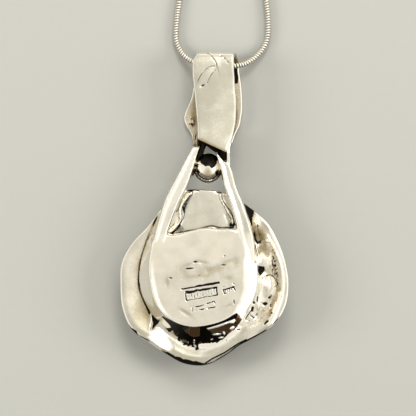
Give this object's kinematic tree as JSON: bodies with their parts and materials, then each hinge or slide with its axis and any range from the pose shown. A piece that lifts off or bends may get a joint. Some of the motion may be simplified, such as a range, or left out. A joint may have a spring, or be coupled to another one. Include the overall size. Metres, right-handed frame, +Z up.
{
  "type": "turquoise pendant",
  "caption": "Handmade silver pendant lying face down, with a folded bail, forked back frame, ball, petal-shaped sheet and oval turquoise cabochon, on a snake chain.",
  "frame": {"origin": "middle of the footprint on the surface that the pendant and its chain lie on", "axes": "+Y from the pendant's tip through its bail to the clasp, +Z up through the pendant's back, +X to the right as seen from above"},
  "size_m": [0.032, 0.2388, 0.008],
  "materials": {
    "silver": "polished warm silver with darkened recesses",
    "turquoise": "polished turquoise with brown matrix veins",
    "chain_silver": "polished silver with dark gaps between the rings",
    "clasp_silver": "polished silver"
  },
  "bodies": {
    "root": {"silver_body": "silver", "turquoise_cabochon": "turquoise", "snake_chain": "chain_silver", "barrel_clasp": "clasp_silver"}
  },
  "joints": []
}
